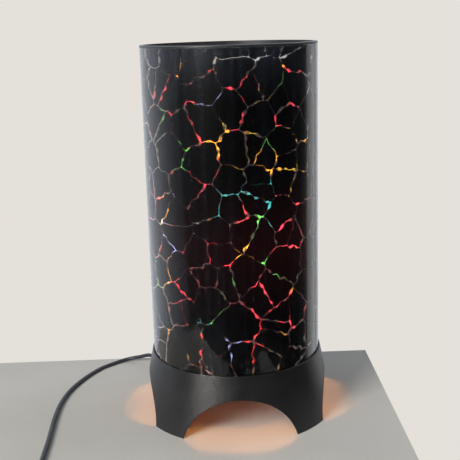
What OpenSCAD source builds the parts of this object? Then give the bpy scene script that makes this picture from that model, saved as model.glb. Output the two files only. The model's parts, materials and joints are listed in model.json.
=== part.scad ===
// Crackle motion lamp: a printed clear sleeve on an arched base, with a colour drum that turns on a needle
// in the warm air over a bulb. Millimetres, +Z up, origin on the floor under the lamp's axis, front to -Y.

/* [Sleeve] */
// Outside diameter of the clear sleeve
sleeve_d = 150; // [136:1:170]
// Wall of the sleeve
sleeve_wall = 2; // [1.4:0.1:3]
// Length of the sleeve
sleeve_length = 280; // [250:1:320]

/* [Top ring] */
// Height of the ring that shows above the sleeve
ring_height = 2; // [1.5:0.1:4]
// Wall of the ring's skirt
ring_wall = 1.5; // [1:0.1:2]
// Depth of the skirt inside the sleeve
ring_skirt = 6; // [3:0.5:10]

/* [Base] */
// Height of the base
base_height = 56; // [52:1:66]
// How far the foot stands out past the rim
base_flare = 11.8; // [8:0.2:15]
// Wall of the base
base_wall = 2.4; // [2:0.1:3]
// Wall of the lip round the sleeve
lip_wall = 1.1; // [0.8:0.1:2]
// Depth of the sleeve's seat below the rim
seat_depth = 12; // [9:0.5:13]
// Thickness of the seat's ledge
seat_thickness = 3; // [2:0.2:4]
// How far the ledge reaches in past the sleeve's bore
seat_margin = 1.5; // [1:0.1:2.5]
// Width of an arch at the floor
arch_width = 97; // [80:1:102]
// Height of an arch
arch_height = 36.5; // [28:0.5:37]

/* [Bridge] */
// Sheet thickness of the bridge that carries the lampholder
bridge_thickness = 1.5; // [1:0.1:2.2]
// Gap between the bridge's seat and the ledge above it
bridge_drop = 5; // [4:0.5:8]
// Width of a bridge arm
arm_width = 12; // [9:0.5:14]
// Radius of the bridge's middle plate
hub_r = 22; // [21:0.5:26]
// Width of the bridge's inner ring
bridge_ring_width = 10; // [8:0.5:12]
// Diameter of a screw boss in the base
boss_d = 9; // [8:0.5:11]
// Length of a screw boss
boss_length = 14; // [10:0.5:16]
// Diameter of the bridge's screws
screw_d = 3; // [2.5:0.1:3.5]

/* [Lampholder] */
// Outside diameter of the lampholder
holder_d = 39; // [38:0.5:44]
// Height of the lower dome
dome_height = 18; // [16:0.5:22]
// Length of the upper shell
skirt_length = 30; // [26:0.5:36]
// Wall of the lampholder
holder_wall = 1.6; // [1.2:0.1:2]
// Diameter of the threaded tube under the lampholder
nipple_d = 10; // [9:0.5:11]
// Thickness of the ceramic block
insert_height = 6; // [5:0.5:8]

/* [Bulb] */
// Diameter of the bulb's glass
bulb_d = 60; // [50:1:62]
// Length of the bulb over all
bulb_length = 105; // [98:1:115]
// Diameter of the bulb's screw cap
cap_d = 26.6; // [26:0.1:27]
// Length of the bulb's screw cap
cap_length = 20; // [18:0.5:22]

/* [Needle hoop] */
// Diameter of the hoop's wire
wire_d = 3; // [2:0.1:3.6]
// Width of the hoop between its legs, on wire centres
hoop_span = 76; // [72:1:84]
// Diameter of the needle
needle_d = 1.8; // [1.4:0.1:2.2]

/* [Drum] */
// Gap between the sleeve's bore and the drum
drum_gap = 4.6; // [4:0.1:8]
// Height of the drum's lower edge above the base's rim
drum_lift = 5; // [3:0.5:12]
// Depth of the drum's upper edge below the lamp's top
drum_sink = 14; // [11:0.5:24]
// Thickness of the film
film_thickness = 0.4; // [0.3:0.1:0.8]
// Radial thickness of the drum's hoops
drum_hoop_wall = 1.5; // [1:0.1:2.5]
// Height of the lower hoop
bottom_hoop_height = 6; // [4:0.5:10]
// Depth of the vane disc below the drum's upper edge
disc_drop = 8; // [7:0.5:12]

/* [Vane disc] */
// Number of vanes
vane_count = 20; // [14:1:24]
// How far a vane is bent up, in degrees
vane_tilt = 25; // [12:1:30]
// Share of a vane's pitch that the vane takes
vane_share = 0.7; // [0.5:0.05:0.8]
// Sheet thickness of the disc
disc_thickness = 0.5; // [0.4:0.1:0.8]
// Radius of the plain middle of the disc
disc_hub_r = 14; // [11:0.5:18]
// Width of the plain rim of the disc
disc_rim = 8; // [6:0.5:12]

/* [Cord] */
// Diameter of the cord
cord_d = 3.8; // [3.2:0.1:4]
// Length of the strain relief's tapered tail
gland_tail = 24; // [20:1:26]
// Height of the cord hole above the floor
gland_z = 12; // [10:0.5:16]
// Radius of the round pad in the wall that the strain relief sits on
pad_r = 7.5; // [7:0.1:8.5]
// Layers of the coil
coil_layers = 4; // [2:2:4]
// Turns in one layer of the coil
layer_turns = 2.25; // [1.75:0.5:2.75]
// Gap between the coil's turns and layers
coil_gap = 0.5; // [0.45:0.05:0.8]

/* [Switch] */
// Length of the in-line switch's housing
switch_l = 60; // [52:1:64]
// Width of the housing
switch_w = 24; // [22:0.5:28]
// Height of the housing
switch_h = 15; // [14:0.5:18]
// Height of the housing's lower half
switch_split = 6.5; // [6:0.1:7]
// Wall of the housing
switch_wall = 1.5; // [1.2:0.1:2]
// Length of the rocker
rocker_l = 18; // [15:0.5:20]
// Width of the rocker
rocker_w = 10; // [8:0.5:11]
// Tilt of the rocker to each side of level
rocker_tilt = 8; // [5:0.5:10]

/* [Plug] */
// Width of the plug's face
plug_w = 35; // [33:0.5:36]
// Thickness of the plug
plug_h = 14; // [13:0.5:15]
// Length of the plug's body
plug_l = 26; // [22:0.5:32]
// Distance between the pins
pin_spacing = 18.6; // [17.5:0.1:19]
// Diameter of a pin
pin_d = 4; // [3.8:0.1:4.8]
// Length of a pin
pin_l = 19; // [17:0.5:19]

/* [Hidden] */
$fn = 96;
// Clearance of pieces that slip into each other
fit_gap = 0.3;
// Clearance between pieces that stay together
seat_gap = 0.1;
// Overshoot of a cut past the face that it opens
cut = 1;

// Sleeve and base radii
sleeve_r = sleeve_d / 2;
sleeve_bore_r = sleeve_r - sleeve_wall;
lip_bore_r = sleeve_r + fit_gap;
rim_r = lip_bore_r + lip_wall;
foot_r = rim_r + base_flare;
seat_z = base_height - seat_depth;
seat_r = sleeve_bore_r - seat_margin;
ledge_z = seat_z - seat_thickness;
sleeve_top_z = seat_z + sleeve_length;
lamp_top_z = sleeve_top_z + ring_height;
function outer_r(z) = foot_r + (rim_r - foot_r) * z / base_height;
function inner_r(z) = outer_r(z) - base_wall;

// Arch: a round arc through the floor and the crown
arch_r = (pow(arch_width / 2, 2) + pow(arch_height, 2)) / (2 * arch_height);
arch_axis_z = arch_height - arch_r;

// Bridge and its bosses, over the four feet
FEET = [45, 135, 225, 315];
bridge_z = ledge_z - bridge_drop;
bridge_top_z = bridge_z + bridge_thickness;
boss_clear = 2;
boss_circle_r = seat_r - boss_d / 2 - boss_clear;
rib_thickness = 2.4;
screw_head_r = screw_d;
screw_head_h = screw_d * 0.6;
screw_length = boss_length - 3;

// Lampholder, from the bridge up
holder_r = holder_d / 2;
nipple_r = nipple_d / 2;
nipple_bore_r = nipple_r - 1.6;
nut_flats = nipple_d + 4;
nut_height = 3;
dome_neck_r = nipple_r + 4;
dome_neck_h = 5;
dome_top_z = bridge_top_z + dome_height;
skirt_top_z = dome_top_z + skirt_length;
insert_seat_depth = 3;
insert_z = dome_top_z - insert_seat_depth;
insert_top_z = insert_z + insert_height;
insert_bore_r = holder_r - holder_wall;
insert_ledge = 2;
cap_r = cap_d / 2;
shell_bore_r = cap_r + 0.4;
shell_wall = 0.6;
shell_length = 22;
nipple_below = 5;
nipple_above = 8;

// Bulb, on the lampholder's contact
contact_height = 2;
tip_height = 5;
tip_r = 4.5;
bulb_z = insert_top_z + contact_height + seat_gap;
bulb_top_z = bulb_z + bulb_length;
ball_r = bulb_d / 2;
ball_z = bulb_top_z - ball_r;
glass_wall = 0.8;
glass_z = bulb_z + tip_height + cap_length;
neck_r = cap_r - 0.6;
glass_sunk = 3;
glass_collar = 2;

// Drum and vane disc
drum_r = sleeve_bore_r - drum_gap;
film_bore_r = drum_r - film_thickness;
drum_z = base_height + drum_lift;
drum_top_z = lamp_top_z - drum_sink;
disc_z = drum_top_z - disc_drop;
disc_top_z = disc_z + disc_thickness;
hoop_ledge = 2;
hoop_bore_r = film_bore_r - drum_hoop_wall;
disc_r = hoop_bore_r - fit_gap;
vane_r1 = disc_hub_r + 2;
vane_r2 = disc_r - disc_rim;
bend_r = disc_thickness * 0.6;

// Needle, cup and hoop, hung from the vane disc's height
cup_flange_r = 7;
cup_flange_t = 0.8;
cup_r = 4.2;
cup_height = 6;
cup_bore_r = needle_d / 2 + 0.9;
cup_bore_depth = 2.5;
dimple_depth = 1.3;
dimple_z = disc_top_z + cup_bore_depth + dimple_depth;
needle_tip_z = dimple_z - fit_gap;
needle_point = 3;
disc_hole_r = cup_bore_r + 0.4;
RIVETS = [30, 150, 270];
rivet_r = 0.8;
rivet_circle_r = 5.6;
rivet_head_r = 1.2;
rivet_head_h = 0.6;
wire_r = wire_d / 2;
hoop_r = hoop_span / 2;
hoop_clear = 6;
hoop_top_z = disc_z - hoop_clear;
hoop_spring_z = hoop_top_z - hoop_r;
hoop_below = 5;
hoop_nut_flats = wire_d + 3.5;
hoop_nut_h = 2.5;
ferrule_r = wire_r + 1.7;
ferrule_z = hoop_top_z - wire_r - 1;
ferrule_top_z = hoop_top_z + wire_r + 3;
needle_seat_z = hoop_top_z + wire_r + 0.2;

// Cord hole and strain relief, in the rear left foot
gland_side = 135;
pad_face = outer_r(gland_z - pad_r);
pad_back = inner_r(gland_z + pad_r) - 4;
gland_r = 4.4;
gland_flange_r = 6.4;
gland_flange_t = 1.6;
gland_collar_r = 5.6;
gland_collar_t = 2;
gland_tip = pad_face + gland_flange_t + gland_tail;
gland_tip_r = cord_d / 2 + 0.7;
cord_r = cord_d / 2;

// A point at a radius along the cord hole's direction
function gland_point(r, z) = [r * cos(gland_side), r * sin(gland_side), z];

// Places on the floor in front of the lamp, outside the photographed stretch
switch_x = -100;
switch_y = -153;
nose_l = 4;
nose_r = 3.6;
switch_end = switch_l / 2 + nose_l;
coil_x = -4;
coil_y = -178;
plug_x = 38;

// Coil: layers that spiral in and out by turns, with a climb at each reversal
coil_pitch = cord_d + coil_gap;
coil_mean_r = 6 * cord_d;
coil_r = coil_mean_r + coil_pitch * layer_turns / 2;
coil_turns = coil_layers * layer_turns;
coil_steps = 24 * coil_turns;
tie_t = 0.7;
tie_w = 4;
tie_gap = 0.25;
tie_lap = 8;
coil_z = cord_r + tie_t + tie_gap;
climb = 0.5;

// Radius, height and place of the coil's centreline at a number of turns from its start
function turns_in(t) = layer_turns - abs(layer_turns - t % (2 * layer_turns));
function coil_radius(t) = coil_r - coil_pitch * turns_in(t);
function climb_share(t, k) = min(1, max(0, (t - k * layer_turns) / climb + 0.5));
function layers_up(t, k) = k == 0 ? 0 : (1 - cos(180 * climb_share(t, k))) / 2 + layers_up(t, k - 1);
function coil_height(t) = coil_z + coil_pitch * layers_up(t, coil_layers - 1);
function coil_point(t) = [
    coil_x + coil_radius(t) * cos(360 * t - 90),
    coil_y + coil_radius(t) * sin(360 * t - 90),
    coil_height(t)];
COIL_TURN = [for (i = [0:coil_steps]) coil_point(i * coil_turns / coil_steps)];
coil_in = [coil_x - cord_d, coil_y - coil_r, coil_z];
coil_out_z = coil_z + coil_pitch * (coil_layers - 1);
coil_out = [coil_x + cord_d, coil_y - coil_r, coil_out_z];
COIL = concat([coil_in], COIL_TURN, [coil_out]);

// Least distance between turns of the coil, less the cord
function next_turn_gap(i) = min([for (k = [i + 12:1:len(COIL_TURN) - 1]) norm(COIL_TURN[i] - COIL_TURN[k])]);
coil_self_gap = min([for (i = [0:1:len(COIL_TURN) - 13]) next_turn_gap(i)]) - cord_d;
echo(coil_self_gap = coil_self_gap);

// A smooth curve through points, with sub steps to each stretch
function curve_at(a, b, c, d, u) = 0.5 * ((2 * b) + (c - a) * u + (2 * a - 5 * b + 4 * c - d) * u * u
    + (3 * b - a - 3 * c + d) * u * u * u);
function smooth(p, sub) = concat([for (i = [0:len(p) - 2], k = [0:sub - 1])
    curve_at(p[max(i - 1, 0)], p[i], p[i + 1], p[min(i + 2, len(p) - 1)], k / sub)], [p[len(p) - 1]]);

// A stretch of cord: a smooth run between two straight ends, each square to what it meets
function stretch(first, first_way, points, last_way, last) = concat(
    [first],
    smooth(concat([first + cord_d * first_way], points, [last - cord_d * last_way]), 2),
    [last]);

// Routes of the cord's loose stretches, on its centreline
OUT = [cos(gland_side), sin(gland_side), 0];
lead_start = gland_point(gland_tip, gland_z);
lead_end = [switch_x - switch_end, switch_y, switch_split];
LEAD = stretch(lead_start, OUT, [
    [-89, 88.5, 11],
    [-98, 95, 6.9],
    [-108, 98.5, 4],
    [-117, 97, 2.4],
    [-126, 90.5, 1.9],
    [-137, 79.5, 1.9],
    [-147, 63, 1.9],
    [-154.5, 46, 1.9],
    [-160.5, 28, 1.9],
    [-164, 9, 1.9],
    [-165.5, -11, 1.9],
    [-165.5, -31, 1.9],
    [-164.5, -54, 1.9],
    [-163.5, -77, 1.9],
    [-163, -102, 1.9],
    [-162, -124, 1.9],
    [-156, -141, 2.6],
    [-147, -150.5, 4.7]], [1, 0, 0], lead_end);
link_start = [switch_x + switch_end, switch_y, switch_split];
LINK = stretch(link_start, [1, 0, 0], [
    [-53.2, -155.3, 6],
    [-46.7, -161.8, 4.9],
    [-44.1, -171, 3.7],
    [-43.6, -182, 2.9],
    [-40, -193.4, 2.9],
    [-32, -202, 2.9],
    [-21.5, -205.6, 2.9]], [1, 0, 0], coil_in);
plug_nose = 16;
plug_nose_r = 5;
plug_z = plug_h / 2;
tail_end = [plug_x, coil_y - coil_r, plug_z];
TAIL = stretch(coil_out, [1, 0, 0], [
    [11.5, -205.6, 14.6],
    [21, -205.6, 11],
    [29, -205.6, 8]], [1, 0, 0], tail_end);
inner_start = gland_point(pad_back - gland_collar_t, gland_z);
inner_end = [0, 0, insert_z];
INNER = stretch(inner_start, -OUT, [
    [-40, 40, 11.5],
    [-30, 30, 11.3],
    [-20, 20, 12],
    [-11, 11, 14.5],
    [-5, 5, 18.5],
    [-1.2, 1.2, 24],
    [0, 0, 29.5]], [0, 0, 1], inner_end);

// Length of a route
function route_length(p) = let (steps = [for (i = [1:len(p) - 1]) norm(p[i] - p[i - 1])])
    steps * [for (s = steps) 1];
echo(cord_lengths = [for (p = [LEAD, LINK, COIL, TAIL]) route_length(p)]);

function unit(v) = v / norm(v);
function tangent(p, i) = unit(p[min(i + 1, len(p) - 1)] - p[max(i - 1, 0)]);
function square_to(v, t) = unit(v - (v * t) * t);

// Directions across the tube, carried along the route without twist
function tube_sides(p) = [for (i = 0, n = square_to([0.01, 0.02, 1], tangent(p, 0)); i < len(p);
    i = i + 1, n = i < len(p) ? square_to(n, tangent(p, i)) : n) n];

// One closed tube of triangles along a route
module tube(p, r, sides) {
    n = tube_sides(p);
    rings = [for (i = [0:len(p) - 1], k = [0:sides - 1])
        let (a = 360 * (k + 0.5) / sides, t = tangent(p, i))
        p[i] + r * (cos(a) * n[i] + sin(a) * cross(t, n[i]))];
    last = (len(p) - 1) * sides;
    walls = [for (i = [0:len(p) - 2], k = [0:sides - 1], half = [0, 1])
        let (a = i * sides + k, b = i * sides + (k + 1) % sides)
        half == 0 ? [a, a + sides, b] : [b, a + sides, b + sides]];
    ends = [for (k = [1:sides - 2], end = [0, 1])
        end == 0 ? [0, k, k + 1] : [last, last + k + 1, last + k]];
    polyhedron(rings, concat(walls, ends), convexity = 10);
}

// Places a child along the cord hole, with its +Z pointing out of the base
module at_gland() {
    rotate([0, 0, gland_side]) translate([0, 0, gland_z]) rotate([0, 90, 0]) children();
}

// A ring between two radii
module ring(r_out, r_in, z, h) {
    translate([0, 0, z]) difference() {
        cylinder(r = r_out, h = h);
        translate([0, 0, -cut]) cylinder(r = r_in, h = h + 2 * cut);
    }
}

// A hexagon nut with a round hole
module nut(flats, hole_r, z, h) {
    translate([0, 0, z]) difference() {
        cylinder(r = flats / sqrt(3), h = h, $fn = 6);
        translate([0, 0, -cut]) cylinder(r = hole_r, h = h + 2 * cut);
    }
}

// Base: a flared wall with a rebate and a ledge for the sleeve
module base_wall_form() {
    rotate_extrude() polygon([
        [foot_r, 0],
        [rim_r, base_height],
        [lip_bore_r, base_height],
        [lip_bore_r, seat_z],
        [seat_r, seat_z],
        [seat_r, ledge_z],
        [inner_r(ledge_z), ledge_z],
        [inner_r(0), 0]]);
}

module arch_cut(turn) {
    rotate([0, 0, turn]) translate([0, 0, arch_axis_z]) rotate([90, 0, 0])
        cylinder(r = arch_r, h = 2 * foot_r + 2 * cut, center = true);
}

// A screw boss with the rib that joins it to the wall
module bridge_boss() {
    low = bridge_z - boss_length;
    translate([boss_circle_r, 0, low]) cylinder(d = boss_d, h = boss_length);
    translate([0, rib_thickness / 2, 0]) rotate([90, 0, 0]) linear_extrude(rib_thickness) polygon([
        [boss_circle_r, low],
        [boss_circle_r, bridge_z],
        [inner_r(bridge_z) + base_wall / 2, bridge_z],
        [inner_r(low) + base_wall / 2, low]]);
}

module base_shell() color("#1b1b1d") {
    difference() {
        union() {
            difference() {
                base_wall_form();
                arch_cut(0);
                arch_cut(90);
            }
            for (a = FEET) rotate([0, 0, a]) bridge_boss();
            at_gland() translate([0, 0, pad_back]) cylinder(r = pad_r, h = pad_face - pad_back);
        }
        for (a = FEET) rotate([0, 0, a]) translate([boss_circle_r, 0, bridge_z - screw_length])
            cylinder(d = screw_d + seat_gap, h = screw_length + cut);
        at_gland() translate([0, 0, pad_back - cut])
            cylinder(r = gland_r + seat_gap, h = pad_face - pad_back + 2 * cut);
    }
}

// Bridge: one pressed sheet with a middle plate, a ring and four arms
module holder_bridge() color("#9a9c9e") {
    translate([0, 0, bridge_z]) linear_extrude(bridge_thickness) difference() {
        union() {
            circle(hub_r);
            difference() {
                circle(hoop_r + bridge_ring_width / 2);
                circle(hoop_r - bridge_ring_width / 2);
            }
            for (a = FEET) rotate(a) {
                translate([0, -arm_width / 2]) square([boss_circle_r, arm_width]);
                translate([boss_circle_r, 0]) circle(d = min(arm_width, boss_d));
            }
        }
        circle(nipple_r + seat_gap);
        for (a = FEET) rotate(a) translate([boss_circle_r, 0]) circle(d = screw_d + 2 * seat_gap);
        for (s = [-1, 1]) translate([s * hoop_r, 0]) circle(wire_r + seat_gap);
    }
}

module bridge_screws() color("#b8babc") {
    for (a = FEET) rotate([0, 0, a]) translate([boss_circle_r, 0, bridge_top_z]) {
        translate([0, 0, bridge_z - bridge_top_z - screw_length + cut])
            cylinder(d = screw_d, h = screw_length - cut + bridge_thickness + screw_head_h / 2);
        difference() {
            cylinder(r1 = screw_head_r, r2 = screw_head_r * 0.8, h = screw_head_h);
            translate([-screw_head_r, -screw_d * 0.1, screw_head_h * 0.5])
                cube([2 * screw_head_r, screw_d * 0.2, screw_head_h]);
        }
    }
}

module holder_nipple() color("#c9b074") {
    ring(nipple_r, nipple_bore_r, bridge_z - nipple_below, nipple_below + bridge_thickness + nipple_above);
}

module holder_nut() color("#c9b074") {
    nut(nut_flats, nipple_r + seat_gap / 2, bridge_z - nut_height, nut_height);
}

// Lampholder: a domed lower half with a counterbore for the ceramic block
module lampholder_cap() color("#232120") {
    rise = dome_height - dome_neck_h - insert_seat_depth;
    neck_z = bridge_top_z + dome_neck_h;
    dome = [for (a = [0:15:90]) [
        dome_neck_r + (holder_r - dome_neck_r) * sin(a),
        neck_z + rise * (1 - cos(a))]];
    hollow = [for (a = [0:15:90]) [
        nipple_r + seat_gap / 2 + (insert_bore_r - insert_ledge - nipple_r) * sin(a),
        neck_z + holder_wall + (rise - holder_wall) * (1 - cos(a))]];
    rotate_extrude() polygon(concat(
        [[nipple_r + seat_gap / 2, bridge_top_z], [dome_neck_r, bridge_top_z]],
        dome,
        [[holder_r, dome_top_z], [insert_bore_r, dome_top_z], [insert_bore_r, insert_z]],
        [for (i = [len(hollow) - 1:-1:0]) hollow[i]]));
}

module lampholder_skirt() color("#232120") {
    bead = 1.2;
    bead_h = 4;
    ring(holder_r, holder_r - holder_wall, dome_top_z, skirt_length);
    ring(holder_r + bead, holder_r - holder_wall / 2, skirt_top_z - bead_h, bead_h);
    ring(holder_r + bead, holder_r - holder_wall / 2, dome_top_z, bead_h);
}

module lampholder_insert() color("#e8e4da") {
    ring(insert_bore_r - seat_gap, cord_r, insert_z + seat_gap / 2, insert_height - seat_gap / 2);
}

module screw_shell() color("#c9a24a") {
    ring(shell_bore_r + shell_wall, shell_bore_r, insert_top_z, shell_length);
}

// Contact leaf: a foot on the ceramic block, a riser and a top under the bulb's tip
module centre_contact() color("#c9a24a") {
    leaf_w = 5;
    leaf_t = 0.5;
    foot_l = 6;
    back = -cord_r - foot_l - 1;
    translate([-leaf_w / 2, 0, insert_top_z]) rotate([90, 0, 90]) linear_extrude(leaf_w) polygon([
        [back, 0],
        [back + foot_l, 0],
        [back + foot_l, leaf_t],
        [back + leaf_t, leaf_t],
        [back + leaf_t, contact_height - leaf_t],
        [tip_r, contact_height - leaf_t],
        [tip_r, contact_height],
        [back, contact_height]]);
}

// Bulb glass: a ball that runs down into a neck
function glass_line(inset) = concat(
    [[neck_r - inset, glass_z - glass_sunk], [neck_r - inset, glass_z + glass_collar]],
    [for (a = [-48:6:90]) [(ball_r - inset) * cos(a), ball_z + (ball_r - inset) * sin(a)]]);

module bulb_glass() color("#f4efe2") {
    inside = glass_line(glass_wall);
    rotate_extrude() polygon(concat(glass_line(0), [for (i = [len(inside) - 1:-1:0]) inside[i]]));
}

module bulb_cap() color("#c8c4b4") {
    low = bulb_z + tip_height;
    difference() {
        translate([0, 0, low]) cylinder(r = cap_r, h = cap_length);
        translate([0, 0, low + 1]) cylinder(r = neck_r + seat_gap / 2, h = cap_length);
    }
}

module bulb_contact() color("#2a2622") {
    tip_h = 1.5;
    translate([0, 0, bulb_z]) cylinder(r = tip_r, h = tip_h);
    translate([0, 0, bulb_z + tip_h]) cylinder(r1 = tip_r, r2 = cap_r - 2, h = tip_height - tip_h);
}

// Needle hoop: two legs and a half round of wire, in the XZ plane
module needle_hoop() color("#a8aaac") {
    low = bridge_z - hoop_below;
    for (s = [-1, 1]) translate([s * hoop_r, 0, low]) cylinder(r = wire_r, h = hoop_spring_z - low);
    translate([0, 0, hoop_spring_z]) rotate([90, 0, 0]) rotate_extrude(angle = 180)
        translate([hoop_r, 0]) circle(wire_r, $fn = 32);
}

module hoop_nuts() color("#b8babc") {
    for (s = [-1, 1]) translate([s * hoop_r, 0, 0]) {
        nut(hoop_nut_flats, wire_r + seat_gap / 2, bridge_z - hoop_nut_h, hoop_nut_h);
        nut(hoop_nut_flats, wire_r + seat_gap / 2, bridge_top_z, hoop_nut_h);
    }
}

module needle_ferrule() color("#c9b074") {
    difference() {
        translate([0, 0, ferrule_z]) cylinder(r = ferrule_r, h = ferrule_top_z - ferrule_z);
        translate([0, 0, hoop_spring_z]) rotate([90, 0, 0]) rotate_extrude()
            translate([hoop_r, 0]) circle(wire_r + seat_gap / 2, $fn = 32);
        translate([0, 0, needle_seat_z]) cylinder(d = needle_d + seat_gap, h = ferrule_top_z);
    }
}

module pivot_needle() color("#d6d8da") {
    low = needle_seat_z + seat_gap;
    translate([0, 0, low]) cylinder(d = needle_d, h = needle_tip_z - needle_point - low);
    translate([0, 0, needle_tip_z - needle_point]) cylinder(d1 = needle_d, d2 = 0.2, h = needle_point);
}

module outer_sleeve() color("#202022", 0.5) {
    ring(sleeve_r, sleeve_bore_r, seat_z, sleeve_length);
}

// Top ring: a flange with a rounded edge on the sleeve's end and a skirt inside it
module top_ring() color("#151516") {
    skirt_r = sleeve_bore_r - fit_gap;
    round_r = ring_height / 2;
    rotate_extrude() polygon(concat(
        [[sleeve_r, sleeve_top_z]],
        [for (a = [0:15:90]) [
            sleeve_r - round_r + round_r * cos(a),
            lamp_top_z - round_r + round_r * sin(a)]],
        [[skirt_r - ring_wall, lamp_top_z],
        [skirt_r - ring_wall, sleeve_top_z - ring_skirt],
        [skirt_r, sleeve_top_z - ring_skirt],
        [skirt_r, sleeve_top_z]]));
}

// Strain relief: snap collar, shank, flange and a tapered tail with grooves
module cord_gland() color("#1d1f24") {
    tail_z = pad_face + gland_flange_t;
    grooves = 5;
    groove_w = 1.6;
    groove_step = gland_tail / (grooves + 1);
    at_gland() {
        translate([0, 0, pad_back - gland_collar_t]) cylinder(r = gland_collar_r, h = gland_collar_t);
        translate([0, 0, pad_back]) cylinder(r = gland_r, h = pad_face - pad_back);
        translate([0, 0, pad_face]) cylinder(r = gland_flange_r, h = gland_flange_t);
        difference() {
            translate([0, 0, tail_z]) cylinder(r1 = gland_r, r2 = gland_tip_r, h = gland_tail);
            for (i = [1:grooves]) ring(gland_flange_r, cord_r + 0.3, tail_z + i * groove_step - groove_w / 2,
                groove_w);
        }
    }
}

module inner_lead() color("#22252b") tube(INNER, cord_r, 8);

module cord_lead() color("#22252b") tube(LEAD, cord_r, 8);

module cord_link() color("#22252b") tube(LINK, cord_r, 8);

module cord_tail() color("#22252b") tube(TAIL, cord_r, 8);

module cord_coil() color("#22252b") tube(COIL, cord_r, 6);

// The section of all the coil's turns, grown on every side
module turns_outline(grow) {
    low_r = coil_radius(layer_turns);
    high_r = coil_r;
    for (r = [low_r, high_r], z = [coil_z, coil_out_z]) translate([r, z]) circle(grow);
    translate([low_r - grow, coil_z]) square([high_r - low_r + 2 * grow, coil_out_z - coil_z]);
    translate([low_r, coil_z - grow]) square([high_r - low_r, coil_out_z - coil_z + 2 * grow]);
}

// A band round the coil's turns on its right side, with its end lapped over on the outside
module coil_tie() color("#101012") {
    bore_grow = cord_r + tie_gap;
    translate([coil_x, coil_y + tie_w / 2, 0]) rotate([90, 0, 0]) linear_extrude(tie_w) difference() {
        union() {
            turns_outline(bore_grow + tie_t);
            translate([coil_r, (coil_z + coil_out_z - tie_lap) / 2]) square([bore_grow + 2 * tie_t, tie_lap]);
        }
        turns_outline(bore_grow);
    }
}

// In-line switch housing: round-ended with soft top and bottom edges, and a cord nose at each end
module switch_half_outline(w, h, r) {
    intersection() {
        union() {
            square([w / 2 - r, h]);
            translate([0, r]) square([w / 2, h - 2 * r]);
            translate([w / 2 - r, r]) circle(r, $fn = 48);
            translate([w / 2 - r, h - r]) circle(r, $fn = 48);
        }
        square([w, h]);
    }
}

module pill(l, w, h, r) {
    straight = l - w;
    for (s = [-1, 1]) translate([s * straight / 2, 0, 0]) rotate_extrude() switch_half_outline(w, h, r);
    translate([-straight / 2, 0, 0]) rotate([90, 0, 90]) linear_extrude(straight) {
        switch_half_outline(w, h, r);
        mirror([1, 0]) switch_half_outline(w, h, r);
    }
}

// The groove that runs round the housing where its halves meet
module switch_seam() {
    straight = switch_l - switch_w;
    seam_r = switch_w / 2 - seam_depth;
    translate([0, 0, switch_split - seam_h / 2]) linear_extrude(seam_h) difference() {
        square([2 * switch_l, 2 * switch_w], center = true);
        for (s = [-1, 1]) translate([s * straight / 2, 0]) circle(seam_r);
        square([straight, 2 * seam_r], center = true);
    }
}

module switch_form() {
    edge_r = 3;
    difference() {
        pill(switch_l, switch_w, switch_h, edge_r);
        switch_seam();
    }
    translate([0, 0, switch_split]) rotate([0, 90, 0]) cylinder(r = nose_r, h = 2 * switch_end, center = true);
}

module switch_room() {
    room_r = 1.8;
    translate([0, 0, switch_wall])
        pill(switch_l - 2 * switch_wall, switch_w - 2 * switch_wall, switch_h - 2 * switch_wall, room_r);
}

// Seam of the switch's halves
seam_depth = 0.4;
seam_h = 0.5;

// Screws of the switch, on its long axis
switch_screw_x = switch_l / 2 - 11;
switch_screw_r = 1.1;
switch_head_r = 2.2;
switch_post_r = 3.2;
switch_head_h = 1.8;
rocker_pin_r = 1.2;
rocker_axis_z = switch_h - 3;
cheek_w = 2.4;
cheek_lift = 1.5;
pin_stop = 0.5;
post_cap = 2;
screw_end_gap = 0.7;
screw_sink = 0.3;
screw_slot = 0.6;
window_l = rocker_l + 1.8;
window_w = rocker_w + 2 * fit_gap;

module switch_halfspace(low, high) {
    translate([-switch_l, -switch_w, low]) cube([2 * switch_l, 2 * switch_w, high - low]);
}

module switch_base() color("#17181b") translate([switch_x, switch_y, 0]) difference() {
    union() {
        difference() {
            intersection() {
                switch_form();
                switch_halfspace(0, switch_split);
            }
            switch_room();
        }
        for (s = [-1, 1]) translate([s * switch_screw_x, 0, switch_wall / 2])
            cylinder(r = switch_post_r, h = switch_split - switch_wall / 2);
    }
    for (s = [-1, 1]) translate([s * switch_screw_x, 0, -cut]) {
        cylinder(r = switch_screw_r + seat_gap, h = switch_h);
        cylinder(r = switch_head_r + seat_gap, h = switch_head_h + cut);
    }
}

module switch_cover() color("#17181b") translate([switch_x, switch_y, 0]) difference() {
    union() {
        difference() {
            intersection() {
                switch_form();
                switch_halfspace(switch_split, switch_h);
            }
            switch_room();
        }
        for (s = [-1, 1]) translate([s * switch_screw_x, 0, switch_split])
            cylinder(r = switch_post_r, h = switch_h - switch_split - switch_wall / 2);
        for (s = [-1, 1]) translate([-rocker_l / 4, s * (window_w + cheek_w) / 2 - cheek_w / 2,
            switch_split + cheek_lift])
            cube([rocker_l / 2, cheek_w, switch_h - switch_wall / 2 - switch_split - cheek_lift]);
    }
    translate([-window_l / 2, -window_w / 2, switch_split - cut])
        cube([window_l, window_w, switch_h - switch_split + 2 * cut]);
    translate([0, 0, rocker_axis_z]) rotate([90, 0, 0])
        cylinder(r = rocker_pin_r + fit_gap / 2, h = window_w + 2 * (cheek_w - pin_stop), center = true);
    for (s = [-1, 1]) translate([s * switch_screw_x, 0, switch_split - cut])
        cylinder(r = switch_screw_r + seat_gap / 2, h = switch_h - switch_wall - post_cap - switch_split + cut);
}

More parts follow.
